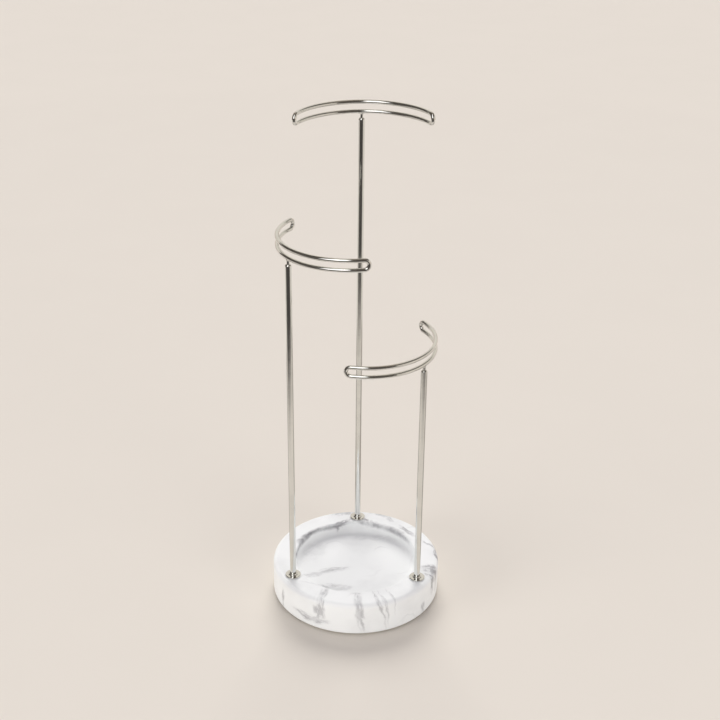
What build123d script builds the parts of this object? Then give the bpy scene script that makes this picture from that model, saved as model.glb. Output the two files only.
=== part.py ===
from build123d import *
import os
from collections import namedtuple
from math import cos, degrees, radians, sin

# A three-tier jewellery stand. Three upright rods stand on the rim of a round marble ring dish, a
# third of a turn apart, and each one carries a closed loop of bent wire to hang jewellery on.
# Each loop turns on a neck pin that drops into the top of its rod.
# Millimetres, +Z up, with the origin on the table, under the middle of the tray.

os.makedirs("parts", exist_ok=True)

# The tray, a marble disc with a ring dish sunk into its top
tray_diameter = 140.0
tray_height = 28.5
tray_shoulder_radius = 4.0
tray_lower_edge_radius = 2.0
rim_width = 18.5
dish_depth = 10.0
dish_lip_radius = 1.2
dish_floor_radius = 5.0

# The rods and where they stand
rod_count = 3
first_rod_angle = 90.0
rod_diameter = 5.0
rod_socket_depth = 8.0
rod_top_taper_width = 0.9
rod_top_taper_height = 1.0
rod_foot_chamfer = 0.4
tall_rod_showing = 364.0
middle_rod_showing = 278.0
short_rod_showing = 193.0

# The wire loops
wire_diameter = 3.3
loop_length = 138.0
loop_rail_spacing = 7.5
loop_bend_radius = 54.2
tall_loop_turn = 3.5
middle_loop_turn = 6.3
short_loop_turn = -4.2

# The neck pins, welded under the loops
neck_pin_diameter = 2.5
neck_pin_showing = 3.2
neck_pin_hold = 14.0
neck_pin_chamfer = 0.3

# The round flanges that cover the rods' sockets
flange_margin = 0.25
flange_thickness = 1.2
flange_edge_radius = 0.5
flange_cove_radius = 1.3
flange_collar_wall = 0.5

# The screws and washers that pull the rods down from below
screw_diameter = 3.0
screw_grip = 8.0
screw_end_chamfer = 0.4
screw_head_diameter = 5.6
screw_head_height = 2.2
screw_head_edge_radius = 0.8
screw_cross_width = 0.8
screw_cross_length = 3.0
screw_cross_depth = 1.2
screw_hole_runout = 1.5
washer_diameter = 9.0
washer_thickness = 0.8
screw_well_depth = 8.0

# The non-slip pads under the tray
pad_diameter = 12.0
pad_height = 1.5
pad_edge_radius = 0.4

# Clearances, each the gap on one side
rod_fit = 0.05
pin_fit = 0.05
screw_fit = 0.05
screw_pass = 0.2
washer_pass = 0.75

# Levels and radii that follow from the sizes above
rim_level = pad_height + tray_height
dish_floor_level = rim_level - dish_depth
rod_foot_level = rim_level - rod_socket_depth
well_roof_level = pad_height + screw_well_depth
tray_radius = tray_diameter / 2
dish_radius = tray_radius - rim_width
rod_radius = rod_diameter / 2
wire_radius = wire_diameter / 2
neck_pin_radius = neck_pin_diameter / 2
screw_radius = screw_diameter / 2

# The flat land between the dish's lip and the tray's shoulder: the rods stand on its middle
land_inner_radius = dish_radius + dish_lip_radius
land_outer_radius = tray_radius - tray_shoulder_radius
rod_circle_radius = (land_inner_radius + land_outer_radius) / 2
flange_radius = (land_outer_radius - land_inner_radius) / 2 - flange_margin

# Half the angle that a loop's straight-sided rails span about the centre of their bend
rail_half_length = (loop_length - wire_diameter - loop_rail_spacing) / 2
rail_half_angle = degrees(rail_half_length / loop_bend_radius)

Tier = namedtuple("Tier", "name angle rod_showing loop_turn")
rod_step = 360.0 / rod_count
tiers = (
    Tier("tall", first_rod_angle, tall_rod_showing, tall_loop_turn),
    Tier("middle", first_rod_angle + rod_step, middle_rod_showing, middle_loop_turn),
    Tier("short", first_rod_angle + 2 * rod_step, short_rod_showing, short_loop_turn),
)


def heading(angle):
    """A level direction, in degrees anticlockwise from +X."""
    return Vector(cos(radians(angle)), sin(radians(angle)), 0)


def rod_spot(tier, level=0.0):
    """The point on a rod's axis at a level."""
    return heading(tier.angle) * rod_circle_radius + Vector(0, 0, level)


def upright_section(origin, angle):
    """An upright plane whose x runs out along the angle and whose y runs up."""
    out = heading(angle)
    return Plane(origin=origin, x_dir=out, z_dir=out.cross(Vector(0, 0, 1)))


def rod_top_level(tier):
    return rim_level + tier.rod_showing


def loop_level(tier):
    """The level of the middle of a loop, between its two rails."""
    return rod_top_level(tier) + neck_pin_showing + wire_radius + loop_rail_spacing / 2


def save(piece, name):
    piece.part.label = name
    export_step(piece.part, f"parts/{name}.step")


# Marble tray: a disc with soft edges and a ring dish, sockets for the rods and wells for their screws
with BuildPart() as tray:
    with BuildSketch(Plane.XY.offset(pad_height)):
        Circle(tray_radius)
    extrude(amount=tray_height)
    with BuildSketch(Plane.XY.offset(rim_level)):
        Circle(dish_radius)
    extrude(amount=-dish_depth, mode=Mode.SUBTRACT)

    rings = tray.edges().filter_by(GeomType.CIRCLE).group_by(Axis.Z)
    underside_ring = rings[0]
    floor_ring = rings[1]
    lip_ring, shoulder_ring = rings[-1].sort_by(SortBy.RADIUS)
    fillet(underside_ring, tray_lower_edge_radius)
    fillet(floor_ring, dish_floor_radius)
    fillet(lip_ring, dish_lip_radius)
    fillet(shoulder_ring, tray_shoulder_radius)

    with BuildSketch(Plane.XY.offset(rim_level)):
        with PolarLocations(rod_circle_radius, rod_count, first_rod_angle):
            Circle(rod_radius + rod_fit)
    extrude(amount=-rod_socket_depth, mode=Mode.SUBTRACT)
    with BuildSketch(Plane.XY.offset(pad_height)):
        with PolarLocations(rod_circle_radius, rod_count, first_rod_angle):
            Circle(washer_diameter / 2 + washer_pass)
    extrude(amount=screw_well_depth, mode=Mode.SUBTRACT)
    with BuildSketch(Plane.XY.offset(well_roof_level)):
        with PolarLocations(rod_circle_radius, rod_count, first_rod_angle):
            Circle(screw_radius + screw_pass)
    extrude(amount=rod_foot_level - well_roof_level, mode=Mode.SUBTRACT)
save(tray, "tray")

# Rods: each has a tapered top with the neck pin's bore, and a tapped bore in its foot
for tier in tiers:
    with BuildPart() as rod:
        with BuildSketch(Plane(rod_spot(tier, rod_foot_level))):
            Circle(rod_radius)
        extrude(amount=rod_socket_depth + tier.rod_showing)
        ends = rod.edges().filter_by(GeomType.CIRCLE).sort_by(Axis.Z)
        chamfer(ends[0], rod_foot_chamfer)
        side = rod.faces().filter_by(GeomType.CYLINDER)[0]
        chamfer(ends[-1], rod_top_taper_height, rod_top_taper_width, reference=side)
        with BuildSketch(Plane(rod_spot(tier, rod_top_level(tier)))):
            Circle(neck_pin_radius + pin_fit)
        extrude(amount=-neck_pin_hold, mode=Mode.SUBTRACT)
        with BuildSketch(Plane(rod_spot(tier, rod_foot_level))):
            Circle(screw_radius + screw_fit)
        extrude(amount=screw_grip + screw_hole_runout, mode=Mode.SUBTRACT)
    save(rod, f"{tier.name}_rod")

# Flanges: a thin disc that rises to the rod in a hollow curve
for tier in tiers:
    bore_radius = rod_radius + rod_fit
    collar_radius = bore_radius + flange_collar_wall
    flange_top = flange_thickness + flange_cove_radius
    with BuildPart() as flange:
        with BuildSketch(upright_section(rod_spot(tier, rim_level), tier.angle)):
            with BuildLine():
                Polyline(
                    (collar_radius, flange_top),
                    (bore_radius, flange_top),
                    (bore_radius, 0),
                    (flange_radius, 0),
                    (flange_radius, flange_thickness - flange_edge_radius),
                )
                RadiusArc(
                    (flange_radius, flange_thickness - flange_edge_radius),
                    (flange_radius - flange_edge_radius, flange_thickness),
                    -flange_edge_radius,
                )
                Line(
                    (flange_radius - flange_edge_radius, flange_thickness),
                    (collar_radius + flange_cove_radius, flange_thickness),
                )
                RadiusArc(
                    (collar_radius + flange_cove_radius, flange_thickness),
                    (collar_radius, flange_top),
                    flange_cove_radius,
                )
            make_face()
        revolve(axis=Axis(rod_spot(tier), (0, 0, 1)))
    save(flange, f"{tier.name}_rod_flange")

# Washers and screws, up inside the wells under the tray
for tier in tiers:
    with BuildPart() as washer:
        with BuildSketch(Plane(rod_spot(tier, well_roof_level))):
            Circle(washer_diameter / 2)
            Circle(screw_radius + screw_fit, mode=Mode.SUBTRACT)
        extrude(amount=-washer_thickness)
    save(washer, f"{tier.name}_rod_washer")

    head_top_level = well_roof_level - washer_thickness
    with BuildPart() as screw:
        with BuildSketch(Plane(rod_spot(tier, head_top_level))):
            Circle(screw_head_diameter / 2)
        extrude(amount=-screw_head_height)
        fillet(screw.edges().sort_by(Axis.Z)[0], screw_head_edge_radius)
        with BuildSketch(Plane(rod_spot(tier, head_top_level - screw_head_height))):
            Rectangle(screw_cross_length, screw_cross_width)
            Rectangle(screw_cross_width, screw_cross_length)
        extrude(amount=screw_cross_depth, mode=Mode.SUBTRACT)
        with BuildSketch(Plane(rod_spot(tier, head_top_level))):
            Circle(screw_radius)
        extrude(amount=rod_foot_level + screw_grip - head_top_level)
        chamfer(screw.edges().sort_by(Axis.Z)[-1], screw_end_chamfer)
    save(screw, f"{tier.name}_rod_screw")

# Wire loops: two rails bent to one radius, closed by a half-round end each side
for tier in tiers:
    facing = tier.angle + tier.loop_turn
    bend_centre = rod_spot(tier, loop_level(tier)) - heading(facing) * loop_bend_radius
    with BuildPart() as loop:
        with BuildSketch(upright_section(bend_centre, facing - rail_half_angle)):
            with Locations((loop_bend_radius, 0)):
                with GridLocations(0, loop_rail_spacing, 1, 2):
                    Circle(wire_radius)
        revolve(axis=Axis(bend_centre, (0, 0, 1)), revolution_arc=2 * rail_half_angle)
        for side in (-1, 1):
            end_angle = facing + side * rail_half_angle
            end_spot = bend_centre + heading(end_angle) * loop_bend_radius
            with BuildSketch(upright_section(end_spot, end_angle)):
                with Locations((0, -loop_rail_spacing / 2)):
                    Circle(wire_radius)
            revolve(axis=Axis(end_spot, heading(end_angle) * side), revolution_arc=180)
    save(loop, f"{tier.name}_loop")

    # Neck pin: it stands on the floor of the rod's bore, and its top is cut to saddle the lower rail
    pin_foot_level = rod_top_level(tier) - neck_pin_hold
    lower_rail_level = loop_level(tier) - loop_rail_spacing / 2
    with BuildPart() as neck_pin:
        with BuildSketch(Plane(rod_spot(tier, pin_foot_level))):
            Circle(neck_pin_radius)
        extrude(amount=lower_rail_level - pin_foot_level)
        chamfer(neck_pin.edges().sort_by(Axis.Z)[0], neck_pin_chamfer)
        add(loop.part, mode=Mode.SUBTRACT)
    save(neck_pin, f"{tier.name}_neck_pin")

# Non-slip pads, under the rim midway between the screws
pad_names = ("left_pad", "front_pad", "right_pad")
for index, name in enumerate(pad_names):
    pad_angle = first_rod_angle + (index + 0.5) * rod_step
    with BuildPart() as pad:
        with BuildSketch(Plane(heading(pad_angle) * rod_circle_radius)):
            Circle(pad_diameter / 2)
        extrude(amount=pad_height)
        fillet(pad.edges().filter_by(GeomType.CIRCLE).sort_by(Axis.Z)[0], pad_edge_radius)
    save(pad, name)
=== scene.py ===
from collections import namedtuple
from math import cos, pi, radians, sin

import bmesh
import bpy
from bpy.props import FloatProperty, FloatVectorProperty, PointerProperty
from mathutils import Matrix, Vector


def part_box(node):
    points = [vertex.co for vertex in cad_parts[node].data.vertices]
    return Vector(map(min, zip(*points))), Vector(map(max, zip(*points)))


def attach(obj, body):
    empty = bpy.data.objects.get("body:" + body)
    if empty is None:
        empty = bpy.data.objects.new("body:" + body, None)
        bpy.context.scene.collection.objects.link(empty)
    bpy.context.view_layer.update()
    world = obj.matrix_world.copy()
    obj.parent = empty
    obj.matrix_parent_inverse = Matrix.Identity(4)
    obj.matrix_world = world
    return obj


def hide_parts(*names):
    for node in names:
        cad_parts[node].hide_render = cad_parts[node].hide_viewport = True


bl_info = {
    "name": "Jewellery Stand",
    "version": (1, 0, 0),
    "blender": (4, 5, 0),
    "location": "View3D > Sidebar > Stand",
    "description": "Models a three-tier jewellery stand and its studio around the packed solids",
    "category": "Object",
}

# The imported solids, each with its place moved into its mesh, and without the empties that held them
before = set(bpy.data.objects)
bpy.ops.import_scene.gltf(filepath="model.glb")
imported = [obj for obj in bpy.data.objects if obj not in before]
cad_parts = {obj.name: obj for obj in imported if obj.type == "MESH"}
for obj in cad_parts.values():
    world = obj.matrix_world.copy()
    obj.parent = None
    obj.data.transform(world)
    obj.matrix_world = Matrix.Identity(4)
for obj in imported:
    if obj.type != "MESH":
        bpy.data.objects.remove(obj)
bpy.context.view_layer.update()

TIERS = ("tall", "middle", "short")
PADS = ("left_pad", "front_pad", "right_pad")
UP = Vector((0, 0, 1))
MM = 0.001
FULL_TURN = 2 * pi

# How finely curves are divided, how near points are merged, and from what angle an edge is sharp
TRAY_STEPS = 256
ROUND_STEPS = 64
ROUNDING_STEPS = 8
WIRE_SIDES = 32
RAIL_STEPS = 120
LOOP_END_STEPS = 28
MERGE_DISTANCE = 1e-7
WIRE_MERGE_DISTANCE = 1e-6
SHARP_ANGLE = radians(40)

# Fits between pieces, and how far a cutter or a bore runs on
SOCKET_FIT = 0.05 * MM
SCREW_PASS = 0.2 * MM
WASHER_PASS = 0.75 * MM
CUT_OVERRUN = 1 * MM
TAPPED_OVERRUN = 1.5 * MM

# Small edges that are alike on every piece of a kind
ROD_TIP_ROUNDING = 0.2 * MM
ROD_EDGE_ROUNDING = 0.4 * MM
FLANGE_FOOT_ROUNDING = 0.1 * MM
COLLAR_ROUNDING = 0.04 * MM
COLLAR_ABOVE_COVE = 0.05 * MM
WASHER_ROUNDING = 0.15 * MM
SCREW_HEAD_ROUNDING = 0.8 * MM
SCREW_TIP_ROUNDING = 0.4 * MM
PAD_FOOT_ROUNDING = 0.4 * MM
PAD_TOP_ROUNDING = 0.1 * MM

# The weld of a neck pin: where it starts below the rail, where it is widest and where it ends above
# the rail's lowest line, and how far it flares
PIN_ROUNDING = 0.3 * MM
WELD_START = 0.35 * MM
WELD_WIDEST = 0.45 * MM
WELD_END = 0.95 * MM
WELD_FLARE = 0.3 * MM
WELD_ROUNDING = 0.15 * MM
WELD_TIP_SHARE = 0.6

# The crossed recess in a screw's head
RECESS_LENGTH = 3.0 * MM
RECESS_WIDTH = 0.8 * MM
RECESS_DEPTH = 1.2 * MM
RECESS_TIP_SHARE = 0.6


class StandSizes(bpy.types.PropertyGroup):
    """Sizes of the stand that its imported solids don't give by their corners alone"""

    rim_width: FloatProperty(
        name="Rim width", description="From the dish's wall to the tray's side",
        default=0.0185, min=0.01, max=0.04, precision=4, subtype="DISTANCE", unit="LENGTH")
    dish_depth: FloatProperty(
        name="Dish depth", description="From the rim down to the dish's floor",
        default=0.010, min=0.004, max=0.02, precision=4, subtype="DISTANCE", unit="LENGTH")
    dish_floor_radius: FloatProperty(
        name="Dish foot radius", description="Rounding between the dish's wall and its floor",
        default=0.005, min=0.001, max=0.009, precision=4, subtype="DISTANCE", unit="LENGTH")
    dish_lip_radius: FloatProperty(
        name="Dish lip radius", description="Rounding of the dish's upper edge",
        default=0.0012, min=0.0002, max=0.004, precision=4, subtype="DISTANCE", unit="LENGTH")
    shoulder_radius: FloatProperty(
        name="Shoulder radius", description="Rounding of the tray's upper outer edge",
        default=0.004, min=0.0005, max=0.01, precision=4, subtype="DISTANCE", unit="LENGTH")
    lower_edge_radius: FloatProperty(
        name="Lower edge radius", description="Rounding of the tray's lower outer edge",
        default=0.002, min=0.0005, max=0.01, precision=4, subtype="DISTANCE", unit="LENGTH")
    rod_taper_width: FloatProperty(
        name="Rod taper width", description="How far the top of a rod draws in",
        default=0.0009, min=0.0001, max=0.0015, precision=4, subtype="DISTANCE", unit="LENGTH")
    rod_taper_height: FloatProperty(
        name="Rod taper height", description="Height over which the top of a rod draws in",
        default=0.001, min=0.0005, max=0.01, precision=4, subtype="DISTANCE", unit="LENGTH")
    flange_thickness: FloatProperty(
        name="Flange thickness", description="Thickness of the disc at the foot of a rod",
        default=0.0012, min=0.0005, max=0.004, precision=4, subtype="DISTANCE", unit="LENGTH")
    flange_edge_radius: FloatProperty(
        name="Flange edge radius", description="Rounding of the flange's upper edge",
        default=0.0005, min=0.0001, max=0.001, precision=4, subtype="DISTANCE", unit="LENGTH")
    flange_collar_wall: FloatProperty(
        name="Flange collar wall", description="Wall of the flange where it meets the rod",
        default=0.0005, min=0.0002, max=0.002, precision=4, subtype="DISTANCE", unit="LENGTH")
    wire_diameter: FloatProperty(
        name="Wire diameter", description="Thickness of the loops' wire",
        default=0.0033, min=0.002, max=0.005, precision=4, subtype="DISTANCE", unit="LENGTH")
    loop_length: FloatProperty(
        name="Loop length", description="Length of a loop along its bend, end to end",
        default=0.138, min=0.06, max=0.2, precision=4, subtype="DISTANCE", unit="LENGTH")
    loop_bend_radius: FloatProperty(
        name="Loop bend radius", description="Radius that a loop's rails are bent to",
        default=0.0542, min=0.03, max=0.12, precision=4, subtype="DISTANCE", unit="LENGTH")
    screw_diameter: FloatProperty(
        name="Screw diameter", description="Thickness of the screws' shanks",
        default=0.003, min=0.002, max=0.004, precision=4, subtype="DISTANCE", unit="LENGTH")
    screw_head_height: FloatProperty(
        name="Screw head height", description="Height of the screws' heads",
        default=0.0022, min=0.001, max=0.004, precision=4, subtype="DISTANCE", unit="LENGTH")


class StandFinishes(bpy.types.PropertyGroup):
    """Colours and gloss of the stand's materials"""

    marble_white: FloatVectorProperty(
        name="Marble white", description="Ground colour of the marble",
        default=(0.89, 0.908, 0.902), min=0, max=1, size=3, subtype="COLOR")
    # The grey of the veins, and also of the painted shade along the dish's wall and by its rear
    marble_grey: FloatVectorProperty(
        name="Marble grey", description="Colour of the marble's darkest veins",
        default=(0.27, 0.265, 0.28), min=0, max=1, size=3, subtype="COLOR")
    marble_roughness: FloatProperty(
        name="Marble roughness", description="Roughness of the polished marble",
        default=0.32, min=0, max=1, subtype="FACTOR")
    nickel_tint: FloatVectorProperty(
        name="Nickel tint", description="Colour of the polished rods, flanges and loops",
        default=(0.81, 0.815, 0.785), min=0, max=1, size=3, subtype="COLOR")
    nickel_roughness: FloatProperty(
        name="Nickel roughness", description="Roughness of the polished nickel",
        default=0.10, min=0, max=1, subtype="FACTOR")
    zinc_tint: FloatVectorProperty(
        name="Zinc tint", description="Colour of the screws and washers",
        default=(0.62, 0.63, 0.65), min=0, max=1, size=3, subtype="COLOR")
    zinc_roughness: FloatProperty(
        name="Zinc roughness", description="Roughness of the screws and washers",
        default=0.34, min=0, max=1, subtype="FACTOR")
    pad_colour: FloatVectorProperty(
        name="Pad colour", description="Colour of the non-slip pads",
        default=(0.62, 0.61, 0.59), min=0, max=1, size=3, subtype="COLOR")


class StandStudio(bpy.types.PropertyGroup):
    """Floor, light and camera"""

    floor_colour: FloatVectorProperty(
        name="Floor colour", description="Colour of the floor and of the backdrop above it",
        default=(0.765, 0.719, 0.646), min=0, max=1, size=3, subtype="COLOR")
    backdrop_strength: FloatProperty(
        name="Backdrop", description="Brightness of the backdrop beyond the floor",
        default=1.03, min=0, soft_max=2)
    key_colour: FloatVectorProperty(
        name="Key colour", description="Colour of the key light",
        default=(1.0, 0.985, 0.96), min=0, max=1, size=3, subtype="COLOR")
    key_strength: FloatProperty(
        name="Key light", description="Strength of the soft light from above and behind",
        default=2.17, min=0, soft_max=10)
    left_fill_strength: FloatProperty(
        name="Left fill", description="Strength of the low soft light from the front left",
        default=1.4, min=0, soft_max=10)
    right_fill_strength: FloatProperty(
        name="Right fill", description="Strength of the low soft light from the front right",
        default=1.1, min=0, soft_max=10)
    surround_colour: FloatVectorProperty(
        name="Surround colour", description="Colour of the even light from all round",
        default=(0.985, 0.945, 1.0), min=0, max=1, size=3, subtype="COLOR")
    surround_strength: FloatProperty(
        name="Surround", description="Strength of the even light from all round",
        default=0.48, min=0, soft_max=2)
    card_tint: FloatVectorProperty(
        name="Card tint", description="Tint of the dark cards that the metal reflects",
        default=(1.0, 0.9, 0.8), min=0, max=1, size=3, subtype="COLOR")
    softbox_strength: FloatProperty(
        name="Softbox", description="Brightness of the softbox that the metal reflects",
        default=1.2, min=0, soft_max=5)
    lens: FloatProperty(
        name="Lens", description="Focal length of the camera", default=64.08, min=20, max=200,
        subtype="DISTANCE_CAMERA", unit="CAMERA")


Upright = namedtuple("Upright", "spot radius foot top")


def upright(node):
    """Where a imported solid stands: the point of its axis at level 0, its radius and its two levels."""
    low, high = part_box(node)
    middle = (low + high) / 2
    return Upright(Vector((middle.x, middle.y, 0)), (high.x - low.x) / 2, low.z, high.z)


def turned(outline, spot, steps=ROUND_STEPS):
    """A mesh turned about an upright axis from corners that are (radius, level, rounding).

    An outline that starts on the axis ends on it. Any other is closed into a ring.
    """
    shape = bmesh.new()
    corners = [shape.verts.new((radius, 0, level)) for radius, level, _ in outline]
    for near, far in zip(corners, corners[1:]):
        shape.edges.new((near, far))
    if outline[0][0] > 0:
        shape.edges.new((corners[-1], corners[0]))
    for corner, (_, _, rounding) in zip(corners, outline):
        if rounding > 0:
            bmesh.ops.bevel(
                shape, geom=[corner], offset=rounding, segments=ROUNDING_STEPS, profile=0.5,
                affect="VERTICES", material=-1)
    bmesh.ops.spin(
        shape, geom=shape.verts[:] + shape.edges[:], cent=(0, 0, 0), axis=UP,
        angle=FULL_TURN, steps=steps, use_merge=True)
    bmesh.ops.remove_doubles(shape, verts=shape.verts[:], dist=MERGE_DISTANCE)
    bmesh.ops.translate(shape, verts=shape.verts[:], vec=spot)
    bmesh.ops.recalc_face_normals(shape, faces=shape.faces[:])
    return shape


def new_object(name, shape, material=None):
    """An object with the mesh of a bmesh, smooth but for its sharp edges."""
    for face in shape.faces:
        face.smooth = True
    for edge in shape.edges:
        edge.smooth = edge.calc_face_angle(0) < SHARP_ANGLE
    mesh = bpy.data.meshes.new(name)
    shape.to_mesh(mesh)
    shape.free()
    if material:
        mesh.materials.append(material)
    thing = bpy.data.objects.new(name, mesh)
    bpy.context.scene.collection.objects.link(thing)
    return thing


def carve(piece, cutters):
    """Cuts the cutters' shapes out of a piece, for good, and deletes the cutters."""
    for cutter in cutters:
        cut = piece.modifiers.new("cut", "BOOLEAN")
        cut.operation = "DIFFERENCE"
        cut.solver = "EXACT"
        cut.object = cutter
    depsgraph = bpy.context.evaluated_depsgraph_get()
    carved = bpy.data.meshes.new_from_object(piece.evaluated_get(depsgraph))
    if not carved.polygons:
        raise RuntimeError(f"{piece.name} came out empty after its cuts")
    piece.modifiers.clear()
    piece.data = carved
    for cutter in cutters:
        bpy.data.objects.remove(cutter)
    shape = bmesh.new()
    shape.from_mesh(carved)
    for edge in shape.edges:
        edge.smooth = edge.calc_face_angle(0) < SHARP_ANGLE
    shape.to_mesh(carved)
    shape.free()


def seat(piece, body, slot, *nodes):
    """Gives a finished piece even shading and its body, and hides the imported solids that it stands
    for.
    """
    even = piece.modifiers.new("even_shading", "WEIGHTED_NORMAL")
    even.keep_sharp = True
    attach(piece, body)
    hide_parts(*nodes)


def add_node(tree, kind, inputs, **settings):
    """A shader node with its settings, whose inputs take plain values or other nodes' outputs."""
    node = tree.nodes.new(kind)
    for name, value in settings.items():
        setattr(node, name, value)
    for socket, value in inputs.items():
        if isinstance(value, bpy.types.NodeSocket):
            tree.links.new(value, node.inputs[socket])
        else:
            node.inputs[socket].default_value = value
    return node


def new_finish(name):
    """A material with its node tree and its shader."""
    material = bpy.data.materials.new(name)
    material.use_nodes = True
    tree = material.node_tree
    return material, tree, tree.nodes["Principled BSDF"]


def own_place(tree):
    """The place of each point of a piece, in metres from the stand's origin."""
    return tree.nodes.new("ShaderNodeTexCoord").outputs["Object"]


# Noise runs from 0 to 1 about this middle
NOISE_MIDDLE = 0.5


def noise(tree, place, scale, detail=2.0, roughness=0.5, stretch=(1, 1, 1)):
    """Noise whose scale counts its features in a metre."""
    if stretch != (1, 1, 1):
        place = add_node(tree, "ShaderNodeMapping", {"Vector": place, "Scale": stretch}).outputs[0]
    inputs = {"Vector": place, "Scale": scale, "Detail": detail, "Roughness": roughness}
    return add_node(tree, "ShaderNodeTexNoise", inputs)


def maths(tree, operation, first, second=0.0):
    """The result of one operation on one or two numbers."""
    return add_node(tree, "ShaderNodeMath", {0: first, 1: second}, operation=operation).outputs[0]


def fade(tree, value, start, end, low=0.0, high=1.0):
    """A value that passes smoothly from low at start to high at end."""
    inputs = {"Value": value, "From Min": start, "From Max": end, "To Min": low, "To Max": high}
    return add_node(
        tree, "ShaderNodeMapRange", inputs, interpolation_type="SMOOTHSTEP").outputs["Result"]


def shift(tree, place, pattern, reach):
    """A place moved by up to half the reach, as a noise pattern's colours say."""
    centred = add_node(
        tree, "ShaderNodeVectorMath", {0: pattern.outputs["Color"], 1: (NOISE_MIDDLE,) * 3},
        operation="SUBTRACT").outputs[0]
    moved = add_node(
        tree, "ShaderNodeVectorMath", {0: centred, "Scale": reach}, operation="SCALE").outputs[0]
    return add_node(tree, "ShaderNodeVectorMath", {0: place, 1: moved}, operation="ADD").outputs[0]


def round_axis(tree, place, bearing):
    """How far a place is from the tray's axis, and the cosine of its angle from a bearing."""
    flat = add_node(
        tree, "ShaderNodeVectorMath", {0: place, 1: (1, 1, 0)}, operation="MULTIPLY").outputs[0]
    distance = add_node(tree, "ShaderNodeVectorMath", {0: flat}, operation="LENGTH").outputs["Value"]
    ahead = (cos(bearing), sin(bearing), 0)
    along = add_node(
        tree, "ShaderNodeVectorMath", {0: flat, 1: ahead}, operation="DOT_PRODUCT").outputs["Value"]
    return distance, maths(tree, "DIVIDE", along, distance)


def mix_colours(tree, factor, first, second):
    """A colour between two others, the second where the factor is 1."""
    # The Mix node has sockets of the same names for other types, so its colours go by number
    inputs = {0: factor, 6: first, 7: second}
    return add_node(tree, "ShaderNodeMix", inputs, data_type="RGBA").outputs[2]


def bump(tree, shader, height, strength, distance):
    """Gives a finish a fine relief, as high as a pattern says."""
    inputs = {"Height": height, "Strength": strength, "Distance": distance}
    relief = add_node(tree, "ShaderNodeBump", inputs)
    tree.links.new(relief.outputs["Normal"], shader.inputs["Normal"])


def opaque(colour):
    """A colour with full cover."""
    return (*colour, 1.0)


# An unevenness of a finish: noise of so many features in a metre, with how much fine detail, and the
# two values of that noise between which the finish changes
Grain = namedtuple("Grain", "scale detail start end")


def unevenness(tree, place, grain, low=0.0, high=1.0, stretch=(1, 1, 1)):
    """The noise of a grain, and a value that passes from low to high with it."""
    pattern = noise(tree, place, grain.scale, grain.detail, stretch=stretch).outputs["Fac"]
    return pattern, fade(tree, pattern, grain.start, grain.end, low, high)


def mottle(tree, shader, shade, colour, darkest):
    """Colours a finish between a share of its colour, where the shade is 0, and the full colour."""
    darker = opaque(darkest * channel for channel in colour)
    tree.links.new(mix_colours(tree, shade, darker, opaque(colour)), shader.inputs["Base Color"])


# A vein of the marble is a sheet that stands in the stone: its middle in millimetres, its heading in
# plan and its lean to the side in degrees, its length, width and height, and how dark it is
Vein = namedtuple("Vein", "x y level heading lean length width height shade")
FRONT_VEINS = (
    Vein(4, -62, 25, -85, 0, 46, 11, 46, 0.55),
    Vein(6, -69, 19, -85, 6, 30, 12, 38, 0.58),
    Vein(-25, -58, 24, 77, -8, 44, 9, 34, 0.56),
    Vein(-29, -63, 19, 70, -10, 24, 13, 24, 0.60),
    Vein(-36, -59, 10, -32, 0, 46, 16, 10, 0.70),
    Vein(-59, -37.5, 11, 33, 4, 22, 6, 40, 0.80),
    Vein(21, -57, 20, -70, 16, 52, 4.4, 60, 0.60),
    Vein(24.5, -58, 22, -68, 10, 46, 4.0, 44, 0.52),
    Vein(29.5, -54, 26, -66, 6, 38, 3.6, 30, 0.50),
    Vein(3, -54, 30, 4, 0, 18, 4, 6, 0.85),
)
RIGHT_VEINS = (
    Vein(64, -18.5, 29, -8, 0, 28, 17, 18, 0.85),
    Vein(64, -27, 24, -22, 0, 26, 10, 32, 0.80),
    Vein(67, -19, 21, -9, 0, 22, 9, 34, 0.85),
    Vein(57, -41, 8, -35, 0, 24, 9, 20, 0.62),
    Vein(64, 17, 30, -47, 0, 32, 4.4, 9, 0.70),
    Vein(68, 3, 28.5, -86, 0, 42, 6, 12, 0.90),
    Vein(42, 39, 30, -46, 0, 34, 7, 10, 0.72),
)
REAR_VEINS = (
    Vein(-12, 66, 30, 26, 0, 32, 15, 14, 0.64),
    Vein(17, 66, 30, -30, 0, 34, 14, 14, 0.68),
    Vein(27, 58, 30, -55, 0, 20, 7, 10, 0.48),
    Vein(-14, 50, 29, 43, 0, 36, 9, 16, 0.85),
    Vein(10.5, 51, 29.5, -45, 0, 24, 11, 16, 0.88),
)
BACK_VEINS = (
    Vein(-30, 60, 12, 115, 10, 30, 8, 30, 0.70),
    Vein(10, 69, 11, 85, -12, 26, 6, 28, 0.65),
    Vein(45, 52, 12, 50, 12, 26, 9, 28, 0.70),
    Vein(-62, 30, 12, 150, -14, 24, 7, 30, 0.65),
    Vein(-68, 4, 12, 175, 0, 20, 12, 22, 0.60),
)
DISH_VEINS_AND_SHADE = (
    Vein(-26, -10.5, 20, 21, 0, 58, 12, 12, 0.54),
    Vein(-19, -32, 20, 5, 0, 46, 13, 12, 0.50),
    # The last two are grey clouds on the dish floor by its wall at the rear left and the rear right,
    # partly veins and partly painted shade of that wall
    Vein(-38, 18, 20, 65, 0, 46, 26, 12, 0.20),
    Vein(15, 42, 20, -8, 0, 62, 20, 14, 0.22),
)
# Grey bands that follow the dish's wall just under its lip, partly veins and partly painted shade of the
# wall: where each begins and ends, in degrees anticlockwise from +X
WallVeinAndShade = namedtuple("WallVeinAndShade", "start end shade")
WALL_VEINS_AND_SHADE = (WallVeinAndShade(100, 190, 1.0), WallVeinAndShade(36, 84, 0.84))
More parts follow.
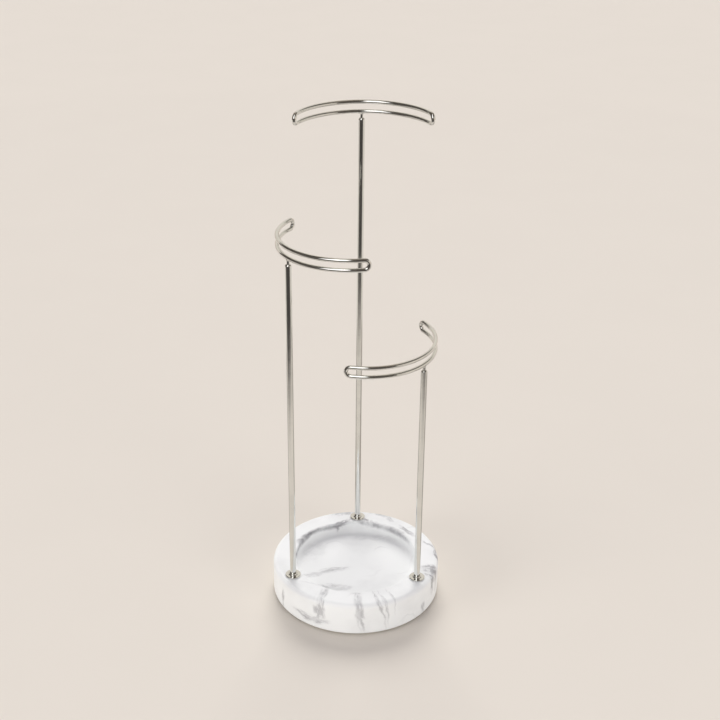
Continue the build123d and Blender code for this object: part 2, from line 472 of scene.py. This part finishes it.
# Where their middle runs and how far they reach from it, in millimetres, and over how many degrees
# their ends fade
WALL_VEIN_AND_SHADE_RADIUS = 51.5
WALL_VEIN_AND_SHADE_LEVEL = 28.0
WALL_VEIN_AND_SHADE_REACH = 4.5
WALL_VEIN_AND_SHADE_FADE = 12.0
# Streaks run along each vein: how many lie across half of it, their noise and the two values of it
# between which they go from thinning the vein to deepening it
STREAK_SCALE = 2.4
STREAK_DETAIL = 4
STREAK_ROUGHNESS = 0.6
STREAK_NOISE = (0.36, 0.62)
STREAK_RANGE = (0.5, 1.45)
# How strong a vein must be before it begins to show, and before it shows in full
VEIN_EDGE = (0.03, 0.85)
# What makes the veins wander: noise of so many features in a metre, with how much fine detail, and
# over how many millimetres it moves them
Warp = namedtuple("Warp", "scale detail reach")
MARBLE_WARPS = (Warp(38, 3, 9), Warp(210, 3, 2.4), Warp(700, 2, 1))
# The smoke that the veins are broken up by, and how much of a vein is left where it is thinnest
SMOKE = Grain(110, 4, 0.34, 0.60)
SMOKE_STRETCH = (1, 1, 0.6)
SMOKE_LEAST = 0.5
# Faint clouds, and hairlines that run in patches where a noise crosses its middle
CLOUDS = Grain(26, 5, 0.46, 0.78)
CLOUD_SHADE = 0.16
HAIRLINE_PATCHES = Grain(21, 1, 0.48, 0.68)
HAIRLINE_SCALE = 17
HAIRLINE_WIDTH = 0.016
HAIRLINE_SHADE = 0.30
# The polish: how its roughness changes from place to place, and its fine relief
MARBLE_GLOSS = Grain(900, 3, 0.2, 0.8)
MARBLE_SMOOTHER = 0.04
MARBLE_ROUGHER = 0.06
MARBLE_RELIEF_SCALE = 60
MARBLE_RELIEF_STRENGTH = 0.08
MARBLE_RELIEF_HEIGHT = 0.3 * MM


def sheet_vein(tree, place, vein):
    """How strongly one sheet of colour shows at a place, from 0 to its shade."""
    inputs = {
        "Vector": place,
        "Location": Vector((vein.x, vein.y, vein.level)) * MM,
        "Rotation": (radians(vein.lean), 0, radians(vein.heading)),
        "Scale": Vector((vein.length, vein.width, vein.height)) * MM / 2,
    }
    local = add_node(tree, "ShaderNodeMapping", inputs, vector_type="TEXTURE").outputs[0]
    near = add_node(
        tree, "ShaderNodeTexGradient", {"Vector": local}, gradient_type="SPHERICAL").outputs["Fac"]
    streaks = noise(tree, local, STREAK_SCALE, STREAK_DETAIL, STREAK_ROUGHNESS).outputs["Fac"]
    feathered = maths(tree, "MULTIPLY", near, fade(tree, streaks, *STREAK_NOISE, *STREAK_RANGE))
    return fade(tree, feathered, *VEIN_EDGE, high=vein.shade)


def wall_vein_and_shade(tree, place, vein):
    """How strongly a grey band that follows the dish's wall shows at a place: partly a vein, partly
    painted shade of the wall near its lip.
    """
    from_axis, facing = round_axis(tree, place, radians(vein.start + vein.end) / 2)
    level = add_node(tree, "ShaderNodeSeparateXYZ", {0: place}).outputs["Z"]
    section = add_node(tree, "ShaderNodeCombineXYZ", {"X": from_axis, "Z": level}).outputs[0]
    core = Vector((WALL_VEIN_AND_SHADE_RADIUS, 0, WALL_VEIN_AND_SHADE_LEVEL)) * MM
    off_core = add_node(
        tree, "ShaderNodeVectorMath", {0: section, 1: core}, operation="DISTANCE").outputs["Value"]
    band = fade(tree, off_core, WALL_VEIN_AND_SHADE_REACH * MM, 0.0, high=vein.shade)
    half = radians(vein.end - vein.start) / 2
    return maths(
        tree, "MULTIPLY", band, fade(tree, facing, cos(half + radians(WALL_VEIN_AND_SHADE_FADE)), cos(half)))


def marble_finish(finishes):
    """White marble: faint clouds and hairlines all through it, grey smoky veins at chosen places, and
    painted shade along the dish's wall and on the dish floor by its rear walls.
    """
    material, tree, shader = new_finish("marble")
    place = own_place(tree)
    drifting = place
    for warp in MARBLE_WARPS:
        drifting = shift(tree, drifting, noise(tree, place, warp.scale, warp.detail), warp.reach * MM)

    _, clouds = unevenness(tree, drifting, CLOUDS, high=CLOUD_SHADE)
    ridge = noise(tree, drifting, HAIRLINE_SCALE).outputs["Fac"]
    off_ridge = maths(tree, "ABSOLUTE", maths(tree, "SUBTRACT", ridge, NOISE_MIDDLE))
    hairlines = fade(tree, off_ridge, HAIRLINE_WIDTH, 0.0, high=HAIRLINE_SHADE)
    _, patches = unevenness(tree, place, HAIRLINE_PATCHES)
    grey = maths(tree, "MAXIMUM", clouds, maths(tree, "MULTIPLY", hairlines, patches))

    _, smoke = unevenness(tree, drifting, SMOKE, low=SMOKE_LEAST, stretch=SMOKE_STRETCH)
    for vein in FRONT_VEINS + RIGHT_VEINS + REAR_VEINS + BACK_VEINS + DISH_VEINS_AND_SHADE:
        shown = maths(tree, "MULTIPLY", sheet_vein(tree, drifting, vein), smoke)
        grey = maths(tree, "MAXIMUM", grey, shown)
    # The bands along the dish's wall are partly veins and partly painted shade of the wall
    for vein in WALL_VEINS_AND_SHADE:
        shown = maths(tree, "MULTIPLY", wall_vein_and_shade(tree, drifting, vein), smoke)
        grey = maths(tree, "MAXIMUM", grey, shown)

    colour = mix_colours(tree, grey, opaque(finishes.marble_white), opaque(finishes.marble_grey))
    tree.links.new(colour, shader.inputs["Base Color"])
    least = finishes.marble_roughness - MARBLE_SMOOTHER
    most = finishes.marble_roughness + MARBLE_ROUGHER
    _, gloss = unevenness(tree, place, MARBLE_GLOSS, least, most)
    tree.links.new(gloss, shader.inputs["Roughness"])
    relief = noise(tree, place, MARBLE_RELIEF_SCALE).outputs["Fac"]
    bump(tree, shader, relief, MARBLE_RELIEF_STRENGTH, MARBLE_RELIEF_HEIGHT)
    return material


# Soft waves that tint the metal down to a share of its colour, and polishing marks drawn out upwards
# that lower and raise its roughness by these factors
METAL_WAVES = Grain(70, 3, 0.3, 0.7)
METAL_DARKEST = 0.93
WAVE_HEIGHT = 0.4 * MM
NICKEL_WAVINESS = 0.2
ZINC_WAVINESS = 0.1
POLISHING_MARKS = Grain(1600, 2, 0.25, 0.75)
MARK_STRETCH = (1, 1, 0.08)
METAL_SMOOTHER = 0.8
METAL_ROUGHER = 1.3


def metal_finish(name, tint, roughness, waviness):
    """Metal with a slightly uneven polish: a faint change of colour and gloss, and soft waves."""
    material, tree, shader = new_finish(name)
    place = own_place(tree)
    shader.inputs["Metallic"].default_value = 1.0
    waves, shade = unevenness(tree, place, METAL_WAVES)
    mottle(tree, shader, shade, tint, METAL_DARKEST)
    least, most = METAL_SMOOTHER * roughness, METAL_ROUGHER * roughness
    _, gloss = unevenness(tree, place, POLISHING_MARKS, least, most, MARK_STRETCH)
    tree.links.new(gloss, shader.inputs["Roughness"])
    bump(tree, shader, waves, waviness, WAVE_HEIGHT)
    return material


def nickel_finish(finishes):
    """The bright polished metal of the rods, flanges, loops and neck pins."""
    return metal_finish(
        "polished_nickel", finishes.nickel_tint, finishes.nickel_roughness, NICKEL_WAVINESS)


def zinc_finish(finishes):
    """The duller metal of the screws and washers."""
    return metal_finish("zinc_steel", finishes.zinc_tint, finishes.zinc_roughness, ZINC_WAVINESS)


RUBBER_GRAIN = Grain(2400, 4, 0.3, 0.7)
RUBBER_DARKEST = 0.85
RUBBER_ROUGHNESS = 0.75
RUBBER_RELIEF_STRENGTH = 0.35
RUBBER_RELIEF_HEIGHT = 0.1 * MM


def rubber_finish(finishes):
    """Matt rubber with a fine grain."""
    material, tree, shader = new_finish("pad_rubber")
    grain, shade = unevenness(tree, own_place(tree), RUBBER_GRAIN)
    mottle(tree, shader, shade, finishes.pad_colour, RUBBER_DARKEST)
    shader.inputs["Roughness"].default_value = RUBBER_ROUGHNESS
    bump(tree, shader, grain, RUBBER_RELIEF_STRENGTH, RUBBER_RELIEF_HEIGHT)
    return material


FINISH_MAKERS = {
    "marble": marble_finish,
    "polished_nickel": nickel_finish,
    "zinc_steel": zinc_finish,
    "pad_rubber": rubber_finish,
}


def finish_for(slot):
    """The finish of one of the record's material slots, made the first time that it is wanted."""
    name = f"stand_{slot}"
    if name not in bpy.data.materials:
        FINISH_MAKERS[slot](bpy.context.scene.stand_finishes).name = name
    return bpy.data.materials[name]


def well_cutter(tier, screw_diameter):
    """What cuts the stepped hole under a rod, right through the tray: well, screw hole and socket."""
    rod, washer = upright(f"{tier}_rod"), upright(f"{tier}_rod_washer")
    _, tray_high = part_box("tray")
    start, end = washer.foot - tray_high.z, tray_high.z + CUT_OVERRUN
    well = washer.radius + WASHER_PASS
    hole = screw_diameter / 2 + SCREW_PASS
    socket = rod.radius + SOCKET_FIT
    outline = [
        (0, start, 0), (well, start, 0), (well, washer.top, 0), (hole, washer.top, 0),
        (hole, rod.foot, 0), (socket, rod.foot, 0), (socket, end, 0), (0, end, 0)]
    return new_object("well_cutter", turned(outline, rod.spot))


class STAND_OT_tray(bpy.types.Operator):
    """Turns the marble tray with its ring dish, and cuts the rods' sockets and the screws' wells"""

    bl_idname = "jewellery_stand.tray"
    bl_label = "Marble tray"
    bl_options = {"REGISTER", "UNDO"}

    def execute(self, context):
        sizes = context.scene.stand_sizes
        tray = upright("tray")
        dish_radius = tray.radius - sizes.rim_width
        dish_floor = tray.top - sizes.dish_depth
        outline = [
            (0, dish_floor, 0),
            (dish_radius, dish_floor, sizes.dish_floor_radius),
            (dish_radius, tray.top, sizes.dish_lip_radius),
            (tray.radius, tray.top, sizes.shoulder_radius),
            (tray.radius, tray.foot, sizes.lower_edge_radius),
            (0, tray.foot, 0)]
        piece = new_object("marble_tray", turned(outline, tray.spot, TRAY_STEPS), finish_for("marble"))
        carve(piece, [well_cutter(tier, sizes.screw_diameter) for tier in TIERS])
        seat(piece, "stand", "marble", "tray")
        return {"FINISHED"}


class STAND_OT_rods(bpy.types.Operator):
    """Turns the three polished rods, each with a tapered top that is bored for its neck pin"""

    bl_idname = "jewellery_stand.rods"
    bl_label = "Rods"
    bl_options = {"REGISTER", "UNDO"}

    def execute(self, context):
        sizes = context.scene.stand_sizes
        nickel = finish_for("polished_nickel")
        for tier in TIERS:
            rod, pin = upright(f"{tier}_rod"), upright(f"{tier}_neck_pin")
            screw = upright(f"{tier}_rod_screw")
            pin_bore, tapped_bore = pin.radius + SOCKET_FIT, sizes.screw_diameter / 2 + SOCKET_FIT
            tapped_top = screw.top + TAPPED_OVERRUN
            tip = rod.radius - sizes.rod_taper_width
            outline = [
                (0, pin.foot, 0),
                (pin_bore, pin.foot, 0),
                (pin_bore, rod.top, 0),
                (tip, rod.top, ROD_TIP_ROUNDING),
                (rod.radius, rod.top - sizes.rod_taper_height, ROD_EDGE_ROUNDING),
                (rod.radius, rod.foot, ROD_EDGE_ROUNDING),
                (tapped_bore, rod.foot, 0),
                (tapped_bore, tapped_top, 0),
                (0, tapped_top, 0)]
            piece = new_object(f"{tier}_polished_rod", turned(outline, rod.spot), nickel)
            seat(piece, "stand", "polished_nickel", f"{tier}_rod")
        return {"FINISHED"}


class STAND_OT_flanges(bpy.types.Operator):
    """Turns the thin flanges that cover the rods' sockets"""

    bl_idname = "jewellery_stand.flanges"
    bl_label = "Rod flanges"
    bl_options = {"REGISTER", "UNDO"}

    def execute(self, context):
        sizes = context.scene.stand_sizes
        nickel = finish_for("polished_nickel")
        for tier in TIERS:
            flange, rod = upright(f"{tier}_rod_flange"), upright(f"{tier}_rod")
            bore = rod.radius + SOCKET_FIT
            collar = bore + sizes.flange_collar_wall
            disc_top = flange.foot + sizes.flange_thickness
            outline = [
                (bore, flange.foot, 0),
                (flange.radius, flange.foot, FLANGE_FOOT_ROUNDING),
                (flange.radius, disc_top, sizes.flange_edge_radius),
                (collar, disc_top, flange.top - disc_top - COLLAR_ABOVE_COVE),
                (collar, flange.top, COLLAR_ROUNDING),
                (bore, flange.top, 0)]
            piece = new_object(f"{tier}_polished_flange", turned(outline, flange.spot), nickel)
            seat(piece, "stand", "polished_nickel", f"{tier}_rod_flange")
        return {"FINISHED"}


def loop_facing(tier):
    """The level direction from the middle of a loop's bend out through its rod."""
    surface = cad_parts[f"{tier}_loop"].data.polygons
    weight = sum(face.area for face in surface)
    middle = sum((face.center * face.area for face in surface), Vector()) / weight
    out = upright(f"{tier}_rod").spot - middle
    return Vector((out.x, out.y, 0)).normalized()


class STAND_OT_loops(bpy.types.Operator):
    """Bends the three wire loops: two rails on one radius, closed by a half-round at each end"""

    bl_idname = "jewellery_stand.loops"
    bl_label = "Wire loops"
    bl_options = {"REGISTER", "UNDO"}

    def execute(self, context):
        sizes = context.scene.stand_sizes
        nickel = finish_for("polished_nickel")
        wire_radius = sizes.wire_diameter / 2
        for tier in TIERS:
            low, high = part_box(f"{tier}_loop")
            rail_rise = (high.z - low.z) / 2 - wire_radius
            rail_length = sizes.loop_length - sizes.wire_diameter - 2 * rail_rise
            half_bend = rail_length / 2 / sizes.loop_bend_radius
            facing = loop_facing(tier)
            level = UP * (low.z + high.z) / 2
            bend_centre = upright(f"{tier}_rod").spot + level - facing * sizes.loop_bend_radius
            ends = [Matrix.Rotation(side * half_bend, 3, UP) @ facing for side in (-1, 1)]
            start, far = [bend_centre + out * sizes.loop_bend_radius for out in ends]

            shape = bmesh.new()
            section = Matrix((ends[0], UP, ends[0].cross(UP))).transposed().to_4x4()
            section.translation = start + UP * rail_rise
            bmesh.ops.create_circle(
                shape, cap_ends=False, segments=WIRE_SIDES, radius=wire_radius, matrix=section)
            ring = shape.verts[:] + shape.edges[:]
            bends = (
                (bend_centre, UP, 2 * half_bend, RAIL_STEPS),
                (far, ends[1], -pi, LOOP_END_STEPS),
                (bend_centre, UP, -2 * half_bend, RAIL_STEPS),
                (start, ends[0], -pi, LOOP_END_STEPS))
            for centre, axis, angle, steps in bends:
                ring = bmesh.ops.spin(
                    shape, geom=ring, cent=centre, axis=axis, angle=angle, steps=steps)["geom_last"]
            bmesh.ops.remove_doubles(shape, verts=shape.verts[:], dist=WIRE_MERGE_DISTANCE)
            bmesh.ops.recalc_face_normals(shape, faces=shape.faces[:])
            piece = new_object(f"{tier}_wire_loop", shape, nickel)
            seat(piece, f"{tier}_arm", "polished_nickel", f"{tier}_loop")
        return {"FINISHED"}


class STAND_OT_neck_pins(bpy.types.Operator):
    """Turns the neck pins, each flared by its weld where it meets the lower rail of its loop"""

    bl_idname = "jewellery_stand.neck_pins"
    bl_label = "Neck pins"
    bl_options = {"REGISTER", "UNDO"}

    def execute(self, context):
        nickel = finish_for("polished_nickel")
        for tier in TIERS:
            pin = upright(f"{tier}_neck_pin")
            rail_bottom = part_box(f"{tier}_loop")[0].z
            outline = [
                (0, pin.foot, 0),
                (pin.radius, pin.foot, PIN_ROUNDING),
                (pin.radius, rail_bottom - WELD_START, PIN_ROUNDING),
                (pin.radius + WELD_FLARE, rail_bottom + WELD_WIDEST, WELD_ROUNDING),
                (WELD_TIP_SHARE * pin.radius, rail_bottom + WELD_END, 0),
                (0, rail_bottom + WELD_END, 0)]
            piece = new_object(f"{tier}_welded_pin", turned(outline, pin.spot), nickel)
            seat(piece, f"{tier}_arm", "polished_nickel", f"{tier}_neck_pin")
        return {"FINISHED"}


def recess_cutters(screw):
    """Two crossed blades that draw in towards their tips, which cut the recess of a screw's head."""
    blades = []
    for blade in ((RECESS_LENGTH, RECESS_WIDTH), (RECESS_WIDTH, RECESS_LENGTH)):
        shape = bmesh.new()
        made = bmesh.ops.create_cube(shape, size=1)["verts"]
        bmesh.ops.scale(shape, verts=made, vec=(*blade, 2 * RECESS_DEPTH))
        tips = [vert for vert in made if vert.co.z > 0]
        bmesh.ops.scale(shape, verts=tips, vec=(RECESS_TIP_SHARE, RECESS_TIP_SHARE, 1))
        bmesh.ops.translate(shape, verts=made, vec=screw.spot + UP * screw.foot)
        blades.append(new_object("recess_cutter", shape))
    return blades


class STAND_OT_fasteners(bpy.types.Operator):
    """Makes the screws and washers that pull the rods down into the tray from below"""

    bl_idname = "jewellery_stand.fasteners"
    bl_label = "Screws and washers"
    bl_options = {"REGISTER", "UNDO"}

    def execute(self, context):
        sizes = context.scene.stand_sizes
        zinc = finish_for("zinc_steel")
        shank = sizes.screw_diameter / 2
        for tier in TIERS:
            washer, screw = upright(f"{tier}_rod_washer"), upright(f"{tier}_rod_screw")
            ring = [
                (shank + SOCKET_FIT, washer.foot, 0),
                (washer.radius, washer.foot, WASHER_ROUNDING),
                (washer.radius, washer.top, WASHER_ROUNDING),
                (shank + SOCKET_FIT, washer.top, 0)]
            piece = new_object(f"{tier}_plain_washer", turned(ring, washer.spot), zinc)
            seat(piece, "stand", "zinc_steel", f"{tier}_rod_washer")

            head_top = screw.foot + sizes.screw_head_height
            outline = [
                (0, screw.foot, 0),
                (screw.radius, screw.foot, SCREW_HEAD_ROUNDING),
                (screw.radius, head_top, 0),
                (shank, head_top, 0),
                (shank, screw.top, SCREW_TIP_ROUNDING),
                (0, screw.top, 0)]
            piece = new_object(f"{tier}_cross_screw", turned(outline, screw.spot), zinc)
            carve(piece, recess_cutters(screw))
            seat(piece, "stand", "zinc_steel", f"{tier}_rod_screw")
        return {"FINISHED"}


class STAND_OT_pads(bpy.types.Operator):
    """Makes the three non-slip pads that the tray stands on"""

    bl_idname = "jewellery_stand.pads"
    bl_label = "Non-slip pads"
    bl_options = {"REGISTER", "UNDO"}

    def execute(self, context):
        rubber = finish_for("pad_rubber")
        for node in PADS:
            pad = upright(node)
            outline = [
                (0, pad.foot, 0),
                (pad.radius, pad.foot, PAD_FOOT_ROUNDING),
                (pad.radius, pad.top, PAD_TOP_ROUNDING),
                (0, pad.top, 0)]
            piece = new_object(f"{node}_disc", turned(outline, pad.spot), rubber)
            seat(piece, "stand", "pad_rubber", node)
        return {"FINISHED"}


# The camera stands in front of the stand and looks down on it
CAMERA_PLACE = Vector((0.01759, -0.90434, 0.66373))
CAMERA_PITCH = radians(26.348)
CAMERA_HEADING = radians(1.004)
CAMERA_ROLL = radians(0.615)
SENSOR_WIDTH = 36.0
CAMERA_REACH = 30.0
FLOOR_REACH = 8.0

# Soft lights so far off that they light the whole floor alike: where each comes from in plan, how
# high it stands and how wide it looks, in degrees
SoftLight = namedtuple("SoftLight", "name bearing height spread")
KEY_LIGHT = SoftLight("key_light", 91, 38, 36)
LEFT_FILL = SoftLight("left_fill", -150, 10, 30)
RIGHT_FILL = SoftLight("right_fill", -46, 10, 30)

# What only reflections show. A card is swept round the stand: its bearing and spread in plan, in
# degrees, its profile as corners of radius and level, and how light it is
Card = namedtuple("Card", "name bearing spread profile shade")
DARK_CARDS = (
    Card("front_wall", -91, 98, ((1.65, 0), (1.65, 0.8)), 0.05),
    Card("front_flag", -129, 172, ((1.6, 0), (1.6, 1.3), (0.5, 2.2)), 0.10),
    Card("rear_flat", 51, 188, ((1.65, 0), (1.65, 0.5)), 0.65),
    Card("side_band", -90, 296, ((1.75, 1.15), (1.75, 2.3), (1.3, 2.3)), 0.12),
    Card("ceiling", -90, 360, ((1.3, 2.3), (0.01, 2.3)), 0.35),
    # These two lie on the floor beside the tray, and darken the edges of the rods' lower parts
    Card("right_floor", 24, 64, ((0.1, 0.002), (0.5, 0.002)), 0.42),
    Card("left_floor", 147, 46, ((0.1, 0.002), (0.5, 0.002)), 0.42),
)
# The softbox hangs before the front flag, and its sides fade over some degrees
SOFTBOX = Card("front_softbox", -110, 56, ((1.55, 0.75), (1.2, 1.5), (0.5, 2.1)), 0.8)
SOFTBOX_SIDE = 14
# A dark cloth lies on the floor in front, and fades in with distance and towards its bearing
FLOOR_CLOTH = Card("floor_cloth", -100, 180, ((0.26, 0.002), (1.6, 0.002)), 0.05)
CLOTH_FADE = (0.26, 0.60)
CLOTH_SIDE_FADE = (0.0, 0.75)
CARD_STEPS = 48
MATT = 0.9
WHITE = (1, 1, 1)
FLOOR_MOTTLE = Grain(9, 2, 0.3, 0.7)
FLOOR_DARKEST = 0.993
FLOOR_SHEEN = 0.2


def hang_light(light, strength, colour):
    """A soft light that shines towards the stand."""
    lamp = bpy.data.lights.new(light.name, "SUN")
    lamp.energy = strength
    lamp.color = colour
    lamp.angle = radians(light.spread)
    holder = bpy.data.objects.new(light.name, lamp)
    holder.rotation_euler = (0, pi / 2 - radians(light.height), radians(light.bearing))
    holder.visible_glossy = False
    bpy.context.scene.collection.objects.link(holder)


def hang_card(name, shape, material):
    """Hangs a card that only reflections show."""
    card = new_object(name, shape, material)
    card.visible_camera = False
    card.visible_diffuse = False
    card.visible_transmission = False
    card.visible_shadow = False


def swept(card):
    """The mesh of a card that is swept round the stand."""
    shape = bmesh.new()
    first = Matrix.Rotation(radians(card.bearing - card.spread / 2), 3, UP)
    corners = [shape.verts.new(first @ Vector((radius, 0, level))) for radius, level in card.profile]
    for near, far in zip(corners, corners[1:]):
        shape.edges.new((near, far))
    bmesh.ops.spin(
        shape, geom=shape.verts[:] + shape.edges[:], cent=(0, 0, 0), axis=UP,
        angle=radians(card.spread), steps=CARD_STEPS)
    return shape


def card_finish(card, tint):
    """Matt dark cloth, as light as the card says."""
    material, _, shader = new_finish(card.name)
    shader.inputs["Base Color"].default_value = opaque(card.shade * channel for channel in tint)
    shader.inputs["Roughness"].default_value = MATT
    return material


def floor_cloth_finish(card, tint):
    """Dark cloth that fades in away from the stand and fades out towards the sides."""
    material = card_finish(card, tint)
    tree = material.node_tree
    from_stand, facing = round_axis(tree, own_place(tree), radians(card.bearing))
    shown = maths(
        tree, "MULTIPLY", fade(tree, from_stand, *CLOTH_FADE), fade(tree, facing, *CLOTH_SIDE_FADE))
    tree.links.new(shown, tree.nodes["Principled BSDF"].inputs["Alpha"])
    return material


def softbox_finish(card, strength):
    """A glowing front that fades out towards the card's sides."""
    material, tree, shader = new_finish(card.name)
    shader.inputs["Base Color"].default_value = opaque(card.shade * channel for channel in WHITE)
    shader.inputs["Emission Color"].default_value = opaque(WHITE)
    shader.inputs["Emission Strength"].default_value = strength
    _, facing = round_axis(tree, own_place(tree), radians(card.bearing))
    half = radians(card.spread) / 2
    shown = fade(tree, facing, cos(half), cos(half - radians(SOFTBOX_SIDE)))
    tree.links.new(shown, shader.inputs["Alpha"])
    return material


def hang_cards(studio):
    """Hangs the softbox and the dark cards that the metal reflects."""
    hang_card(SOFTBOX.name, swept(SOFTBOX), softbox_finish(SOFTBOX, studio.softbox_strength))
    hang_card(FLOOR_CLOTH.name, swept(FLOOR_CLOTH), floor_cloth_finish(FLOOR_CLOTH, studio.card_tint))
    for card in DARK_CARDS:
        hang_card(card.name, swept(card), card_finish(card, studio.card_tint))


def surround_world(studio):
    """Even light for the stand, and for the camera and the metal the floor's own pale colour."""
    world = bpy.data.worlds.new("studio_surround")
    world.use_nodes = True
    tree = world.node_tree
    lighting = tree.nodes["Background"]
    lighting.inputs["Color"].default_value = opaque(studio.surround_colour)
    lighting.inputs["Strength"].default_value = studio.surround_strength
    backdrop_inputs = {"Color": opaque(studio.floor_colour), "Strength": studio.backdrop_strength}
    backdrop = add_node(tree, "ShaderNodeBackground", backdrop_inputs)
    ray = tree.nodes.new("ShaderNodeLightPath").outputs
    seen = maths(
        tree, "MAXIMUM", ray["Is Camera Ray"],
        maths(tree, "MAXIMUM", ray["Is Glossy Ray"], ray["Is Transmission Ray"]))
    either = add_node(
        tree, "ShaderNodeMixShader", {0: seen, 1: lighting.outputs[0], 2: backdrop.outputs[0]})
    tree.links.new(either.outputs[0], tree.nodes["World Output"].inputs["Surface"])
    return world


def floor_finish(colour):
    """Plain matt paper with the faintest mottle."""
    material, tree, shader = new_finish("studio_floor")
    _, shade = unevenness(tree, own_place(tree), FLOOR_MOTTLE)
    mottle(tree, shader, shade, colour, FLOOR_DARKEST)
    shader.inputs["Roughness"].default_value = MATT
    shader.inputs["Specular IOR Level"].default_value = FLOOR_SHEEN
    return material


def lay_floor(colour):
    """Lays the floor at level 0, wide enough to fill every view."""
    shape = bmesh.new()
    bmesh.ops.create_grid(shape, x_segments=1, y_segments=1, size=FLOOR_REACH)
    new_object("studio_floor", shape, floor_finish(colour))


def set_up_camera(lens):
    """A camera at the place that the photograph was taken from."""
    camera = bpy.data.cameras.new("camera")
    camera.sensor_width = SENSOR_WIDTH
    camera.lens = lens
    camera.clip_end = CAMERA_REACH
    holder = bpy.data.objects.new("camera", camera)
    holder.matrix_world = (
        Matrix.Translation(CAMERA_PLACE) @ Matrix.Rotation(CAMERA_HEADING, 4, "Z")
        @ Matrix.Rotation(pi / 2 - CAMERA_PITCH, 4, "X") @ Matrix.Rotation(CAMERA_ROLL, 4, "Z"))
    bpy.context.scene.collection.objects.link(holder)
    return holder


class STAND_OT_studio(bpy.types.Operator):
    """Lays the pale floor, hangs the lights and sets up the camera"""

    bl_idname = "jewellery_stand.studio"
    bl_label = "Floor, light and camera"
    bl_options = {"REGISTER", "UNDO"}

    def execute(self, context):
        scene = context.scene
        studio = scene.stand_studio
        lay_floor(studio.floor_colour)
        hang_cards(studio)
        hang_light(KEY_LIGHT, studio.key_strength, studio.key_colour)
        hang_light(LEFT_FILL, studio.left_fill_strength, studio.key_colour)
        hang_light(RIGHT_FILL, studio.right_fill_strength, studio.key_colour)
        scene.world = surround_world(studio)
        scene.camera = set_up_camera(studio.lens)
        scene.view_settings.view_transform = "Standard"
        return {"FINISHED"}


OPERATORS = (
    STAND_OT_tray, STAND_OT_rods, STAND_OT_flanges, STAND_OT_loops, STAND_OT_neck_pins,
    STAND_OT_fasteners, STAND_OT_pads, STAND_OT_studio)
SETTINGS = {"stand_sizes": StandSizes, "stand_finishes": StandFinishes, "stand_studio": StandStudio}
HEADINGS = {"stand_sizes": "Sizes", "stand_finishes": "Finishes", "stand_studio": "Studio"}


class STAND_PT_sidebar(bpy.types.Panel):
    """Lists the stand's settings and the operators that make its pieces"""

    bl_idname = "STAND_PT_sidebar"
    bl_label = "Jewellery stand"
    bl_space_type = "VIEW_3D"
    bl_region_type = "UI"
    bl_category = "Stand"

    def draw(self, context):
        for name, group in SETTINGS.items():
            column = self.layout.column()
            column.label(text=HEADINGS[name])
            for setting in group.__annotations__:
                column.prop(getattr(context.scene, name), setting)
        for operator in OPERATORS:
            self.layout.operator(operator.bl_idname)


def register():
    for group in (*SETTINGS.values(), *OPERATORS, STAND_PT_sidebar):
        bpy.utils.register_class(group)
    for name, group in SETTINGS.items():
        setattr(bpy.types.Scene, name, PointerProperty(type=group))


def unregister():
    for name in SETTINGS:
        delattr(bpy.types.Scene, name)
    for group in reversed((*SETTINGS.values(), *OPERATORS, STAND_PT_sidebar)):
        bpy.utils.unregister_class(group)


def main():
    """Makes every piece and the studio."""
    register()
    bpy.ops.jewellery_stand.tray()
    bpy.ops.jewellery_stand.rods()
    bpy.ops.jewellery_stand.flanges()
    bpy.ops.jewellery_stand.loops()
    bpy.ops.jewellery_stand.neck_pins()
    bpy.ops.jewellery_stand.fasteners()
    bpy.ops.jewellery_stand.pads()
    bpy.ops.jewellery_stand.studio()


if __name__ == "__main__":
    main()
